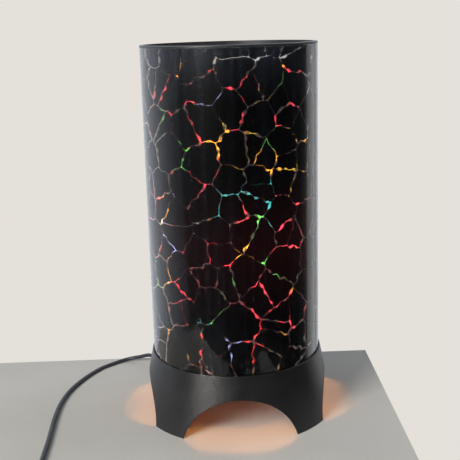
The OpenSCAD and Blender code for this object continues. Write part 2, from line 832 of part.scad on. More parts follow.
// Rocker: a shallow V on a pin, at rest with its right end up
module switch_rocker() color("#24262a") translate([switch_x, switch_y, rocker_axis_z]) rotate([0, -rocker_tilt, 0]) {
    half = rocker_l / 2;
    high = 3.6;
    middle = 2.4;
    low = 0.6;
    keel = 2.8;
    keel_half = half * 0.4;
    translate([0, rocker_w / 2, 0]) rotate([90, 0, 0]) linear_extrude(rocker_w) polygon([
        [-half, -low],
        [-half, high],
        [0, middle],
        [half, high],
        [half, -low],
        [keel_half, -keel],
        [-keel_half, -keel]]);
    rotate([90, 0, 0])
        cylinder(r = rocker_pin_r, h = window_w + 2 * (cheek_w - pin_stop - fit_gap), center = true);
}

module switch_screws() color("#b8babc") translate([switch_x, switch_y, screw_sink]) {
    for (s = [-1, 1]) translate([s * switch_screw_x, 0, 0]) {
        translate([0, 0, screw_slot]) cylinder(r = switch_screw_r,
            h = switch_h - switch_wall - post_cap - screw_end_gap - screw_sink - screw_slot);
        difference() {
            cylinder(r = switch_head_r, h = switch_head_h - screw_sink);
            translate([-switch_head_r, -screw_slot / 2, -cut]) cube([2 * switch_head_r, screw_slot, cut + screw_slot]);
        }
    }
}

// A flat shape with its corners rounded
module eased(r) {
    offset(r = r, $fn = 48) offset(delta = -r) children();
}

// Plug: a flattened six-sided face that narrows to the cord, with soft edges and a grooved nose
module plug_body() color("#17181b") {
    back_w = 16;
    side_h = plug_h * 0.45;
    top_w = plug_w - 9;
    face_x = plug_nose + plug_l;
    ridge_r = 3;
    edge_r = 1.8;
    translate([plug_x, coil_y - coil_r, plug_z]) {
        intersection() {
            translate([plug_nose, 0, 0]) rotate([90, 0, 90]) linear_extrude(plug_l) eased(ridge_r) polygon([
                [-plug_w / 2, -side_h / 2],
                [-top_w / 2, -plug_h / 2],
                [top_w / 2, -plug_h / 2],
                [plug_w / 2, -side_h / 2],
                [plug_w / 2, side_h / 2],
                [top_w / 2, plug_h / 2],
                [-top_w / 2, plug_h / 2],
                [-plug_w / 2, side_h / 2]]);
            translate([0, 0, -plug_h]) linear_extrude(2 * plug_h) eased(edge_r) polygon([
                [plug_nose, -back_w / 2],
                [face_x - plug_l * 0.4, -plug_w / 2],
                [face_x, -plug_w / 2],
                [face_x, plug_w / 2],
                [face_x - plug_l * 0.4, plug_w / 2],
                [plug_nose, back_w / 2]]);
            translate([0, plug_w, 0]) rotate([90, 0, 0]) linear_extrude(2 * plug_w) eased(edge_r)
                translate([plug_nose, -plug_h / 2]) square([plug_l, plug_h]);
        }
        difference() {
            rotate([0, 90, 0]) cylinder(r1 = gland_tip_r, r2 = plug_nose_r, h = plug_nose + 1);
            for (i = [1:4]) rotate([0, 90, 0]) ring(2 * plug_nose_r, cord_r + 0.3, i * 3, 1.2);
        }
    }
}

module plug_pins() color("#d8d4c4") {
    for (s = [-1, 1]) translate([plug_x + plug_nose + plug_l, coil_y - coil_r + s * pin_spacing / 2, plug_z])
        rotate([0, 90, 0]) {
            cylinder(d = pin_d, h = pin_l - pin_d / 2);
            translate([0, 0, pin_l - pin_d / 2]) sphere(d = pin_d, $fn = 48);
        }
}

// Drum: a rolled film between two hoops, carried by the vane disc
module drum_film() color("#c8402a", 0.6) {
    ring(drum_r, film_bore_r, drum_z, drum_top_z - drum_z);
}

module drum_top_hoop() color("#d8d2c4") {
    rotate_extrude() polygon([
        [film_bore_r, disc_z - hoop_ledge],
        [film_bore_r, drum_top_z],
        [hoop_bore_r, drum_top_z],
        [hoop_bore_r, disc_z],
        [hoop_bore_r - hoop_ledge, disc_z],
        [hoop_bore_r - hoop_ledge, disc_z - hoop_ledge]]);
}

module drum_bottom_hoop() color("#d8d2c4") {
    ring(film_bore_r, hoop_bore_r, drum_z, bottom_hoop_height);
}

// Vane disc: windows cut on three sides, each with its flap bent up about a radial bead
module vane_outline(kerf) {
    w1 = vane_r1 * 2 * tan(180 / vane_count) * vane_share;
    w2 = vane_r2 * 2 * tan(180 / vane_count) * vane_share;
    polygon([
        [vane_r1 + kerf, 0],
        [vane_r2 - kerf, 0],
        [vane_r2 - kerf, w2 - kerf],
        [vane_r1 + kerf, w1 - kerf]]);
}

module vane_disc() color("#c4c6c8") translate([0, 0, disc_z]) {
    difference() {
        cylinder(r = disc_r, h = disc_thickness);
        translate([0, 0, -cut]) cylinder(r = disc_hole_r, h = disc_thickness + 2 * cut);
        for (i = [0:vane_count - 1]) rotate([0, 0, i * 360 / vane_count]) translate([0, 0, -cut])
            linear_extrude(disc_thickness + 2 * cut) vane_outline(0);
        for (a = RIVETS) rotate([0, 0, a]) translate([rivet_circle_r, 0, -cut])
            cylinder(r = rivet_r + seat_gap / 2, h = disc_thickness + 2 * cut);
    }
    for (i = [0:vane_count - 1]) rotate([0, 0, i * 360 / vane_count]) translate([0, 0, disc_thickness / 2]) {
        translate([vane_r1 - bend_r, 0, 0]) rotate([0, 90, 0])
            cylinder(r = bend_r, h = vane_r2 - vane_r1 + 2 * bend_r);
        rotate([vane_tilt, 0, 0]) translate([0, 0, -disc_thickness / 2])
            linear_extrude(disc_thickness) vane_outline(fit_gap);
    }
}

// Bearing cup: a flange on the disc and a dome with a pointed seat for the needle
module pivot_cup() color("#c9a24a") {
    bore_z = disc_top_z + cup_bore_depth;
    difference() {
        rotate_extrude() polygon([
            [cup_bore_r, disc_top_z],
            [cup_flange_r, disc_top_z],
            [cup_flange_r, disc_top_z + cup_flange_t],
            [cup_r, disc_top_z + cup_flange_t],
            [cup_r, disc_top_z + cup_height - 1],
            [cup_r - 1, disc_top_z + cup_height],
            [0, disc_top_z + cup_height],
            [0, dimple_z],
            [cup_bore_r, bore_z]]);
        for (a = RIVETS) rotate([0, 0, a]) translate([rivet_circle_r, 0, disc_z])
            cylinder(r = rivet_r + seat_gap / 2, h = cup_height);
    }
}

module cup_rivets() color("#c4c6c8") {
    for (a = RIVETS) rotate([0, 0, a]) translate([rivet_circle_r, 0, 0]) {
        translate([0, 0, disc_z - rivet_head_h])
            cylinder(r = rivet_r, h = disc_thickness + cup_flange_t + 2 * rivet_head_h);
        translate([0, 0, disc_z - rivet_head_h]) cylinder(r = rivet_head_r, h = rivet_head_h);
        translate([0, 0, disc_top_z + cup_flange_t]) cylinder(r = rivet_head_r, h = rivet_head_h);
    }
}

base_shell();
holder_bridge();
bridge_screws();
holder_nipple();
holder_nut();
lampholder_cap();
lampholder_skirt();
lampholder_insert();
screw_shell();
centre_contact();
bulb_glass();
bulb_cap();
bulb_contact();
needle_hoop();
hoop_nuts();
needle_ferrule();
pivot_needle();
outer_sleeve();
top_ring();
cord_gland();
inner_lead();
cord_lead();
switch_base();
switch_cover();
switch_rocker();
switch_screws();
cord_link();
cord_coil();
coil_tie();
cord_tail();
plug_body();
plug_pins();
drum_film();
drum_top_hoop();
drum_bottom_hoop();
vane_disc();
pivot_cup();
cup_rivets();
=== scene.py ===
# Crackle motion lamp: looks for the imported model. Metres, +Z up, front to -Y.
import json
import math
import random

import bpy
from mathutils import Matrix, Vector, geometry


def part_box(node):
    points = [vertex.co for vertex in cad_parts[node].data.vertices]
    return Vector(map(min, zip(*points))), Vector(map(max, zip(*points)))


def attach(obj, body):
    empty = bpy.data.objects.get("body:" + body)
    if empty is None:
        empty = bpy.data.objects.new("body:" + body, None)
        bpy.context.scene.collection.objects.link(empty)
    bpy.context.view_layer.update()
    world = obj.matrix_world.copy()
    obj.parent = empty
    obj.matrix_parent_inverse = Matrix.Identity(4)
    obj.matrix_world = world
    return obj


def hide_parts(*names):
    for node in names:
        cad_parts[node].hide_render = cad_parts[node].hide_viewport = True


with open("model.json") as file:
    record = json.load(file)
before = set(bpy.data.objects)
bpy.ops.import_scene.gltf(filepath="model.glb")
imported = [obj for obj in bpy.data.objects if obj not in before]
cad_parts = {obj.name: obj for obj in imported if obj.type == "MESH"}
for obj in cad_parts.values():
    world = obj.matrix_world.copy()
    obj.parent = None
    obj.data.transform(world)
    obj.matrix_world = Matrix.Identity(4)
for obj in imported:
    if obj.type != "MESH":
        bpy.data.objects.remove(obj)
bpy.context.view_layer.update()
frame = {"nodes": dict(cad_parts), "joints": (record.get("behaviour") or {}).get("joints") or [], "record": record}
scene = bpy.context.scene
scene.view_settings.view_transform = "Standard"


def node_box(name):
    """A node's lowest and highest corners, to a hundredth of a millimetre."""
    return [[round(x, 5) for x in corner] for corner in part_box(name)]


# Camera: the photograph's place, aim and slight tilt, in the lamp's frame
IMAGE_SIZE = 460
FOCAL_PIXELS = 838.25
SENSOR = 36.0
NEAREST = 0.01
CAMERA_PLACE = Vector((-0.0193, -0.7238, 0.3427))
CAMERA_TURN = math.radians(-1.297)
CAMERA_PITCH = math.radians(13.92)
CAMERA_ROLL = math.radians(-1.56)


def add_camera():
    data = bpy.data.cameras.new("camera")
    data.sensor_fit = "HORIZONTAL"
    data.sensor_width = SENSOR
    data.lens = FOCAL_PIXELS / IMAGE_SIZE * SENSOR
    data.clip_start = NEAREST
    camera = bpy.data.objects.new("camera", data)
    scene.collection.objects.link(camera)
    turn = Matrix.Rotation(CAMERA_TURN, 4, "Z")
    aim = Matrix.Rotation(math.pi / 2 - CAMERA_PITCH, 4, "X")
    roll = Matrix.Rotation(CAMERA_ROLL, 4, "Z")
    camera.matrix_world = Matrix.Translation(CAMERA_PLACE) @ turn @ aim @ roll
    scene.camera = camera


add_camera()

# Cord: its diameter in metres, and the routes of the CAD cord in millimetres
CORD_D = 0.0038
CORD_STEPS = 6
GLAND_TIP = (-79.8, 79.8, 12)
LEAD = [
    GLAND_TIP,
    (-82.49, 82.49, 12),
    (-89, 88.5, 11),
    (-98, 95, 6.9),
    (-108, 98.5, 4),
    (-117, 97, 2.4),
    (-126, 90.5, 1.9),
    (-137, 79.5, 1.9),
    (-147, 63, 1.9),
    (-154.5, 46, 1.9),
    (-160.5, 28, 1.9),
    (-164, 9, 1.9),
    (-165.5, -11, 1.9),
    (-165.5, -31, 1.9),
    (-164.5, -54, 1.9),
    (-163.5, -77, 1.9),
    (-163, -102, 1.9),
    (-162, -124, 1.9),
    (-156, -141, 2.6),
    (-147, -150.5, 4.7),
    (-137.8, -153, 6.5),
    (-134, -153, 6.5)]
LINK = [
    (-66, -153, 6.5),
    (-62.2, -153, 6.5),
    (-53.2, -155.3, 6),
    (-46.7, -161.8, 4.9),
    (-44.1, -171, 3.7),
    (-43.6, -182, 2.9),
    (-40, -193.4, 2.9),
    (-32, -202, 2.9),
    (-21.5, -205.6, 2.9),
    (-11.6, -205.64, 2.85)]
TAIL = [
    (3.6, -205.64, 15.75),
    (11.5, -205.6, 14.6),
    (21, -205.6, 11),
    (29, -205.6, 8),
    (34.2, -205.64, 7),
    (38, -205.64, 7)]
COIL_CENTRE = (-4, -178)
COIL_Z = 2.85
COIL_PITCH = 4.3
COIL_LAYERS = 4
LAYER_TURNS = 2.25
COIL_CLIMB = 0.5
COIL_MEAN_R = 22.8
COIL_R = COIL_MEAN_R + COIL_PITCH * LAYER_TURNS / 2
TURN_POINTS = 24


def coil_point(turn):
    """The coil's centreline: layers that spiral in and out by turns and climb at each reversal."""
    inward = LAYER_TURNS - abs(LAYER_TURNS - turn % (2 * LAYER_TURNS))
    radius = COIL_R - COIL_PITCH * inward
    height = COIL_Z
    for layer in range(1, COIL_LAYERS):
        share = min(1, max(0, (turn - layer * LAYER_TURNS) / COIL_CLIMB + 0.5))
        height += COIL_PITCH * (1 - math.cos(math.pi * share)) / 2
    angle = 2 * math.pi * turn - math.pi / 2
    return (COIL_CENTRE[0] + radius * math.cos(angle), COIL_CENTRE[1] + radius * math.sin(angle), height)


def cord_curve(name, route):
    """A round cord on one smooth spline. A handle is a sixth of the way between the points on both sides."""
    data = bpy.data.curves.new(name, "CURVE")
    data.dimensions = "3D"
    data.bevel_depth = 1
    data.bevel_resolution = CORD_STEPS
    data.resolution_u = CORD_STEPS
    data.use_fill_caps = True
    points = [Vector(p) / 1000 for p in route]
    spline = data.splines.new("BEZIER")
    spline.bezier_points.add(len(points) - 1)
    for k, point in enumerate(points):
        handle = (points[min(k + 1, len(points) - 1)] - points[max(k - 1, 0)]) / 6
        knot = spline.bezier_points[k]
        knot.handle_left_type = "FREE"
        knot.handle_right_type = "FREE"
        knot.co = point
        knot.radius = CORD_D / 2
        knot.handle_left = point - handle
        knot.handle_right = point + handle
    cord = bpy.data.objects.new(name, data)
    scene.collection.objects.link(cord)
    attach(cord, "base")
    return cord


coil_steps = round(TURN_POINTS * COIL_LAYERS * LAYER_TURNS)
COIL = [coil_point(k / TURN_POINTS) for k in range(coil_steps + 1)]
cord_to_switch = cord_curve("cord_to_switch", LEAD)
cord_to_plug = cord_curve("cord_to_plug", LINK + COIL + TAIL)
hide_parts("cord_lead")
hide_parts("cord_link", "cord_coil", "cord_tail")

# Looks: ranges in which most values of a noise lie, heights on the lamp that looks follow, and other values
NOISE_MIDDLE = (0.35, 0.65)
NOISE_WIDE = (0.3, 0.7)
BULB_NECK_TO_BALL = (0.086, 0.135)
GLOW_RISE = (0.06, 0.16)
GLOW_FALL = (0.17, 0.29)
TOP_SHEEN_RISE = (0.283, 0.324)
RED_FROM = 0.1
RED_MOST = 0.165
RED_TO = 0.225
BLACK = (0, 0, 0)
CLEAR_IOR = 1.49
BASE_EDGE_R = 0.0007


def add_node(tree, kind, *links, **settings):
    """A shader node with its settings made and its inputs set to values or joined to other nodes."""
    node = tree.nodes.new("ShaderNode" + kind)
    for name, value in settings.items():
        setattr(node, name, value)
    for socket, value in links:
        if isinstance(value, bpy.types.NodeSocket):
            tree.links.new(value, node.inputs[socket])
        else:
            node.inputs[socket].default_value = value
    return node


def ranges(value, source, target):
    """The inputs of a node that maps one range of a value to another."""
    return (
        ("Value", value), ("From Min", source[0]), ("From Max", source[1]), ("To Min", target[0]),
        ("To Max", target[1]))


class Look:
    """A material with short ways to add the textures that vary it, placed in the lamp's frame."""

    def __init__(self, name, **sockets):
        self.material = bpy.data.materials.new(name)
        self.material.use_nodes = True
        self.tree = self.material.node_tree
        self.shader = self.tree.nodes["Principled BSDF"]
        for socket, value in sockets.items():
            self.put(socket.replace("_", " ").title().replace("Ior", "IOR"), value)

    def put(self, socket, value):
        if isinstance(value, tuple) and len(value) == 3:
            value = (*value, 1)
        self.shader.inputs[socket].default_value = value

    def join(self, out, socket):
        self.tree.links.new(out, self.shader.inputs[socket])

    def node(self, kind, *links, **settings):
        return add_node(self.tree, kind, *links, **settings)

    def place(self, stretch=(1, 1, 1), turn=(0, 0, 0)):
        coords = self.node("TexCoord").outputs["Object"]
        return self.node("Mapping", ("Vector", coords), ("Scale", stretch), ("Rotation", turn)).outputs[0]

    def noise(self, scale, detail=3, stretch=(1, 1, 1)):
        place = self.place(stretch)
        return self.node("TexNoise", ("Vector", place), ("Scale", scale), ("Detail", detail)).outputs[0]

    def cells(self, scale, stretch, turn):
        place = self.place(stretch, turn)
        return self.node("TexVoronoi", ("Vector", place), ("Scale", scale)).outputs

    def part(self, vector, index):
        return self.node("SeparateXYZ", (0, vector)).outputs[index]

    def height(self):
        return self.part(self.node("TexCoord").outputs["Object"], 2)

    def span(self, value, source, target=(0.0, 1.0), smooth=False):
        kind = "SMOOTHSTEP" if smooth else "LINEAR"
        return self.node("MapRange", *ranges(value, source, target), interpolation_type=kind).outputs[0]

    def add(self, a, b):
        return self.node("Math", (0, a), (1, b), operation="ADD").outputs[0]

    def times(self, a, b):
        return self.node("Math", (0, a), (1, b), operation="MULTIPLY").outputs[0]

    def ramp(self, value, stops, steps=False):
        node = self.node("ValToRGB", (0, value))
        if steps:
            node.color_ramp.interpolation = "CONSTANT"
        elements = node.color_ramp.elements
        while len(elements) < len(stops):
            elements.new(1)
        for element, (place, colour) in zip(elements, stops):
            element.position = place
            element.color = (*colour, 1)
        return node.outputs[0]

    def bump(self, height, depth):
        node = self.node("Bump", ("Height", height), ("Distance", depth))
        self.join(node.outputs[0], "Normal")
        return node


def grained(name, dark, light, rough, grain, depth, stretch=(1, 1, 1), patch=25, **sockets):
    """A material whose colour wanders in patches and whose gloss and relief follow a fine grain."""
    look = Look(name, **sockets)
    fine = look.noise(grain, 4, stretch)
    broad = look.noise(patch, 3, stretch)
    blend = look.times(look.add(fine, broad), 0.5)
    look.join(look.ramp(blend, list(zip(NOISE_MIDDLE, (dark, light)))), "Base Color")
    look.join(look.span(blend, NOISE_MIDDLE, rough), "Roughness")
    look.bump(fine, depth)
    return look.material


def base_plastic():
    """Satin black moulding with a fine grain drawn out level round it, and soft edges."""
    look = Look("base_plastic", specular_ior_level=0.6, anisotropic=0.55, anisotropic_rotation=0.25)
    grain = look.noise(scale=1500, stretch=(0.2, 0.2, 1.8))
    broad = look.noise(scale=40)
    tone = look.times(look.add(grain, broad), 0.5)
    stops = [(0.36, (0.0055, 0.0055, 0.0062)), (0.64, (0.0125, 0.0125, 0.0138))]
    look.join(look.ramp(tone, stops), "Base Color")
    look.join(look.span(tone, NOISE_MIDDLE, (0.32, 0.44)), "Roughness")
    around = look.node("Tangent", direction_type="RADIAL", axis="Z")
    look.join(around.outputs[0], "Tangent")
    edge = look.node("Bevel", ("Radius", BASE_EDGE_R), samples=4)
    bump = look.bump(grain, depth=0.00015)
    look.tree.links.new(edge.outputs[0], bump.inputs["Normal"])
    return look.material


def sleeve_clear():
    """Clear extruded tube: faint lines along its length, and a little unevenness in its gloss."""
    look = Look(
        "sleeve_clear", base_color=(0.97, 0.98, 0.98), ior=CLEAR_IOR, transmission_weight=1.0,
        specular_tint=(0.5, 0.5, 0.5), coat_weight=0.75, coat_roughness=0.03, coat_ior=CLEAR_IOR)
    lines = look.noise(scale=420, detail=2, stretch=(1, 1, 0.012))
    look.join(look.span(lines, NOISE_WIDE, (0.276, 0.3)), "Roughness")
    look.bump(lines, depth=0.000012)
    return look.material


def print_black():
    """Black print with a painted bluish sheen that runs down in streaks from the open top, and faint painted
    streaks of sheen all over. By the bulb a painted red glow stands in for its light coming through."""
    look = Look("print_black", specular_ior_level=0.0, emission_strength=0.007)
    streak = look.noise(scale=230, detail=4, stretch=(1, 1, 0.06))
    patch = look.noise(scale=35, stretch=(1, 1, 0.35))
    # Painted sheen: the print is paler and bluish towards the open top, in streaks.
    top = look.span(look.height(), TOP_SHEEN_RISE)
    painted_top_sheen = look.times(look.times(top, streak), patch)
    # Painted sheen: faint paler streaks along the print's length, standing in for reflections.
    fine = look.noise(scale=230, detail=2, stretch=(1, 1, 0.012))
    painted_streak_sheen = look.span(fine, (0.5, 0.64), (0.0, 0.12))
    stops = [(0.0, (0.001, 0.001, 0.0013)), (0.2, (0.009, 0.0106, 0.0155)), (0.45, (0.036, 0.0425, 0.06))]
    look.join(look.ramp(look.add(painted_top_sheen, painted_streak_sheen), stops), "Base Color")
    look.join(look.span(streak, NOISE_WIDE, (0.35, 0.55)), "Roughness")
    # Painted glow: a faint red emission near the bulb's height, for its light coming through the print.
    red = look.ramp(look.height(), [(RED_FROM, BLACK), (RED_MOST, (1.0, 0.1, 0.12)), (RED_TO, BLACK)])
    look.join(red, "Emission Color")
    look.bump(look.noise(scale=900), depth=0.00002)
    return look.material


def lacquer_haze_and_sheen():
    """Clear lacquer over the cracks, a little milky, and paler where it is seen at a slant: a painted sheen."""
    look = Look("lacquer_haze_and_sheen", base_color=(0.72, 0.72, 0.73), specular_ior_level=0.2)
    cloud = look.noise(scale=260, detail=4)
    milk = look.span(cloud, NOISE_MIDDLE, (0.0, 0.012))
    # Painted sheen: the lacquer grows more opaque and pale towards the sleeve's edges, for the room reflected
    # there.
    slant = look.node("LayerWeight", ("Blend", 0.5)).outputs["Facing"]
    look.join(look.add(milk, look.span(slant, (0.3, 0.68), (0.0, 0.4))), "Alpha")
    look.join(look.span(cloud, NOISE_WIDE, (0.25, 0.5)), "Roughness")
    look.bump(cloud, depth=0.00005)
    return look.material


FILM_COLOURS = [
    (0.0, (1.0, 0.03, 0.06)),
    (0.34, (1.0, 0.40, 0.02)),
    (0.46, (0.10, 0.42, 0.06)),
    (0.58, (1.0, 0.05, 0.05)),
    (0.74, (0.02, 0.19, 0.185)),
    (0.82, (0.42, 0.46, 0.95)),
    (0.87, (1.0, 0.62, 0.03)),
    (0.94, (1.0, 0.04, 0.07))]
STROKE_STRETCH = (1, 1, 0.7)


def drum_colour():
    """Dark film with short strokes of red, amber, green and blue. Its paint glows: a painted glow for the bulb's
    light shining through it, brightest level with the bulb.
    """
    look = Look("drum_colour", roughness=0.35, emission_strength=4.4)
    zones = look.cells(58.0, STROKE_STRETCH, (0.3, 0.2, 0.4))
    colour = look.ramp(look.part(zones["Color"], 0), FILM_COLOURS, steps=True)
    strokes = look.cells(185.0, STROKE_STRETCH, (0.5, 0.3, 0))
    shape = look.span(strokes["Distance"], (0.42, 0.6), (1.0, 0.0))
    chance = look.part(strokes["Color"], 1)
    lit = look.times(shape, look.span(chance, (0.14, 0.4), (0.06, 1.0)))
    lit = look.times(lit, look.span(look.noise(scale=22, detail=2), (0.43, 0.52), (0.05, 1.0)))
    # Painted glow: the film's paint is emitted and used as its colour, fading above and below the bulb's level.
    height = look.height()
    rise = look.span(height, GLOW_RISE, (0.4, 1.0), smooth=True)
    fall = look.span(height, GLOW_FALL, (1.0, 0.4), smooth=True)
    ground = look.ramp(chance, [(0.0, (0.007, 0.0045, 0.004)), (1.0, (0.018, 0.005, 0.005))])
    paint = look.node("MixRGB", ("Fac", lit), ("Color1", ground), ("Color2", colour)).outputs[0]
    glow = look.node("VectorMath", (0, paint), ("Scale", look.times(rise, fall)), operation="SCALE")
    look.join(glow.outputs[0], "Emission Color")
    look.join(glow.outputs[0], "Base Color")
    look.bump(shape, depth=0.0001)
    return look.material


def bulb_frosted():
    """Frosted bulb, lit: brightest from the middle of the ball upwards, warmer towards its neck."""
    look = Look("bulb_frosted", roughness=0.45, emission_strength=5.0)
    cloud = look.noise(scale=60)
    rise = look.span(look.height(), BULB_NECK_TO_BALL, (0.0, 0.75))
    tone = look.add(rise, look.span(cloud, NOISE_WIDE, (0.0, 0.25)))
    look.join(look.ramp(tone, [(0.0, (0.45, 0.2, 0.06)), (1.0, (1.0, 0.74, 0.42))]), "Emission Color")
    stops = list(zip(NOISE_WIDE, ((0.82, 0.78, 0.7), (0.92, 0.89, 0.82))))
    look.join(look.ramp(cloud, stops), "Base Color")
    look.bump(look.noise(scale=1200, detail=2), depth=0.00003)
    return look.material


# Grained finishes: dark and light colour, range of roughness, scale of the grain and its depth, and, where
# they aren't the usual ones, the grain's stretch and the scale of the patches
FINISHES = {
    "holder_plastic": ((0.012, 0.01, 0.009), (0.026, 0.021, 0.018), (0.18, 0.32), 600, 0.00002),
    "holder_ceramic": ((0.74, 0.71, 0.64), (0.86, 0.84, 0.79), (0.12, 0.24), 300, 0.00003),
    "bulb_insulator": ((0.012, 0.01, 0.01), (0.03, 0.026, 0.022), (0.1, 0.2), 500, 0.00002),
    "ring_plastic": ((0.014, 0.016, 0.019), (0.026, 0.029, 0.034), (0.28, 0.42), 1100, 0.00002),
    "cord_rubber": ((0.012, 0.014, 0.019), (0.024, 0.028, 0.037), (0.34, 0.5), 900, 0.00005, (1, 1, 1), 70),
    "switch_plastic": ((0.011, 0.011, 0.013), (0.022, 0.022, 0.025), (0.36, 0.5), 1500, 0.00005),
    "rocker_plastic": ((0.014, 0.014, 0.016), (0.026, 0.026, 0.03), (0.2, 0.3), 900, 0.00002),
    "tie_plastic": ((0.008, 0.008, 0.009), (0.018, 0.018, 0.02), (0.4, 0.55), 1200, 0.00005),
    "hoop_card": ((0.66, 0.62, 0.54), (0.8, 0.77, 0.7), (0.5, 0.66), 700, 0.00006),
    "mark_paint": ((0.6, 0.6, 0.58), (0.78, 0.78, 0.76), (0.4, 0.55), 900, 0.00001),
}
METALS = {
    "bridge_steel": ((0.42, 0.42, 0.41), (0.62, 0.62, 0.6), (0.3, 0.48), 220, 0.00004, (1, 1, 1), 30),
    "screw_steel": ((0.5, 0.5, 0.49), (0.68, 0.68, 0.67), (0.22, 0.38), 900, 0.00003, (1, 1, 1), 80),
    "holder_brass": ((0.55, 0.38, 0.13), (0.76, 0.58, 0.26), (0.2, 0.36), 700, 0.00003, (1, 1, 3), 60),
    "bulb_metal": ((0.55, 0.53, 0.48), (0.75, 0.73, 0.68), (0.24, 0.42), 500, 0.00004, (1, 1, 4), 50),
    "wire_steel": ((0.45, 0.45, 0.46), (0.66, 0.66, 0.67), (0.18, 0.34), 1200, 0.00002, (1, 1, 0.05), 90),
    "pin_metal": ((0.6, 0.58, 0.54), (0.78, 0.76, 0.71), (0.14, 0.26), 800, 0.00002, (4, 1, 1), 60),
    "vane_aluminium": ((0.6, 0.61, 0.62), (0.8, 0.81, 0.82), (0.2, 0.36), 260, 0.00003, (1, 1, 1), 30),
}
LOOKS = {
    "base_plastic": base_plastic(),
    "sleeve_clear": sleeve_clear(),
    "drum_colour": drum_colour(),
    "bulb_glass": bulb_frosted(),
}
for name, finish in FINISHES.items():
    LOOKS[name] = grained(name, *finish)
for name, finish in METALS.items():
    LOOKS[name] = grained(name, *finish, metallic=1.0)


def dress(piece, material):
    piece.data.materials.clear()
    piece.data.materials.append(material)


for row in frame["record"]["subparts"]:
    dress(frame["nodes"][row["node"]], LOOKS[row["material_slot"]])
for cord in (cord_to_switch, cord_to_plug):
    dress(cord, LOOKS["cord_rubber"])


def add_mesh(name, vertices, faces, material):
    mesh = bpy.data.meshes.new(name)
    mesh.from_pydata(vertices, [], faces)
    mesh.validate()
    mesh.materials.append(material)
    made = bpy.data.objects.new(name, mesh)
    scene.collection.objects.link(made)
    return made


def add_piece(name, vertices, faces, material, body):
    piece = add_mesh(name, vertices, faces, material)
    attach(piece, body)
    return piece


def edges(outline):
    """Each point of a closed outline with the one after it."""
    return zip(outline, outline[1:] + outline[:1])


def band(count, first, second):
    """Faces from one loop of vertices to another, from the number of each loop's first vertex."""
    loop = list(range(count))
    return [(first + k, first + after, second + after, second + k) for k, after in edges(loop)]


# Crackle: a layout of cells round the sleeve, unrolled to (girth, height), with a crack between each two.
# The print lies in the sleeve's wall, near its inside. The lacquer lies on the sleeve's outside, from just
# over the base up, at several levels by turns, so that few of its lines overlap on one level.
sleeve_low, sleeve_high = node_box("outer_sleeve")
SLEEVE_R = sleeve_high[0]
PRINT_DEPTH = 0.0017
PRINT_R = SLEEVE_R - PRINT_DEPTH
FOOT_MARGIN = 0.0005
TOP_MARGIN = 0.0004
PRINT_LOW = sleeve_low[2] + FOOT_MARGIN
PRINT_HIGH = sleeve_high[2] - TOP_MARGIN
PRINT_THICKNESS = 0.00004
LACQUER_PROUD = 0.00004
LACQUER_R = SLEEVE_R + LACQUER_PROUD
LACQUER_OVER_BASE = 0.001
LACQUER_LOW = node_box("base_shell")[1][2] + LACQUER_OVER_BASE
LACQUER_THICKNESS = 0.00003
LACQUER_OVERLAP = 0.0001
LACQUER_HALF = 0.00042
LACQUER_LEVELS = 5
LACQUER_STAGGER = 0.00001
GIRTH = 2 * math.pi * PRINT_R
# Cell centres: their grid, how far they drift in it, the share left out, and the copies' reach past the seam
LAYOUT_SEED = 41
COLUMNS = 32
ROWS = 15
ROW_HEIGHT = 0.028
LOWEST_ROW = -0.004
SITE_DRIFT = 0.6
MISSING_SHARE = 0.22
WRAP = 0.09
# Cracks: their steps and kinks, half widths, the shares that close up or stay thin, and the wider spots. The
# seed's factor is more than the number of cells, so that each crack has a seed of its own.
CRACK_SEED = 7919
CRACK_STEP = 0.0009
SHORTEST_CRACK = 1e-6
KINK_STEP = 0.0042
KINK = 0.0016
THIN = (0.00013, 0.00024)
RAGGED = 0.00003
CLOSED_SHARE = 0.3
CLOSED_FROM = (-0.2, 0.6)
CLOSED = 0.00003
PLAIN_SHARE = 0.33
SPOT_SPACING = 0.0095
SPOT_PLACE = (0.2, 0.8)
SPOT_REACH = (0.0016, 0.0042)
SPOT_EXTRA = (0.0005, 0.0012)
SPOT_SKEW = 0.7
# Faces of the print: the grid inside a cell, the steps along its edge, and whether triangles cover all the
# points or only the inside of an outline
INNER_STEP = 0.005
INNER_START = 0.7
EDGE_STEP = 0.0015
ALL_POINTS = 0
INSIDE_OUTLINE = 1
SAME_POINT = 1e-9


def lay_sites():
    """Cell centres on a loose grid with some left out, and copies past the seam so that the layout closes
    round the sleeve. The first and last rows only close the cells beside them."""
    rng = random.Random(LAYOUT_SEED)
    sites = []
    inner = []
    for row in range(ROWS):
        shift = rng.random()
        for column in range(COLUMNS):
            u = (column + shift + rng.uniform(-SITE_DRIFT, SITE_DRIFT)) * GIRTH / COLUMNS
            v = LOWEST_ROW + (row + rng.uniform(-SITE_DRIFT, SITE_DRIFT)) * ROW_HEIGHT
            edge = row in (0, ROWS - 1)
            if edge or rng.random() > MISSING_SHARE:
                sites.append(Vector((u % GIRTH, v)))
                inner.append(not edge)
    owners = list(range(len(sites)))
    places = list(sites)
    for owner, site in enumerate(sites):
        for turn in (-GIRTH, GIRTH):
            if -WRAP < site.x + turn < GIRTH + WRAP:
                owners.append(owner)
                places.append(Vector((site.x + turn, site.y)))
    return places, owners, inner


def circle_centre(a, b, c):
    """The centre of the circle through three points, where three cells meet."""
    ab = b - a
    ac = c - a
    d = 2 * ab.cross(ac)
    x = (ac.y * ab.length_squared - ab.y * ac.length_squared) / d
    y = (ab.x * ac.length_squared - ac.x * ab.length_squared) / d
    return a + Vector((x, y))


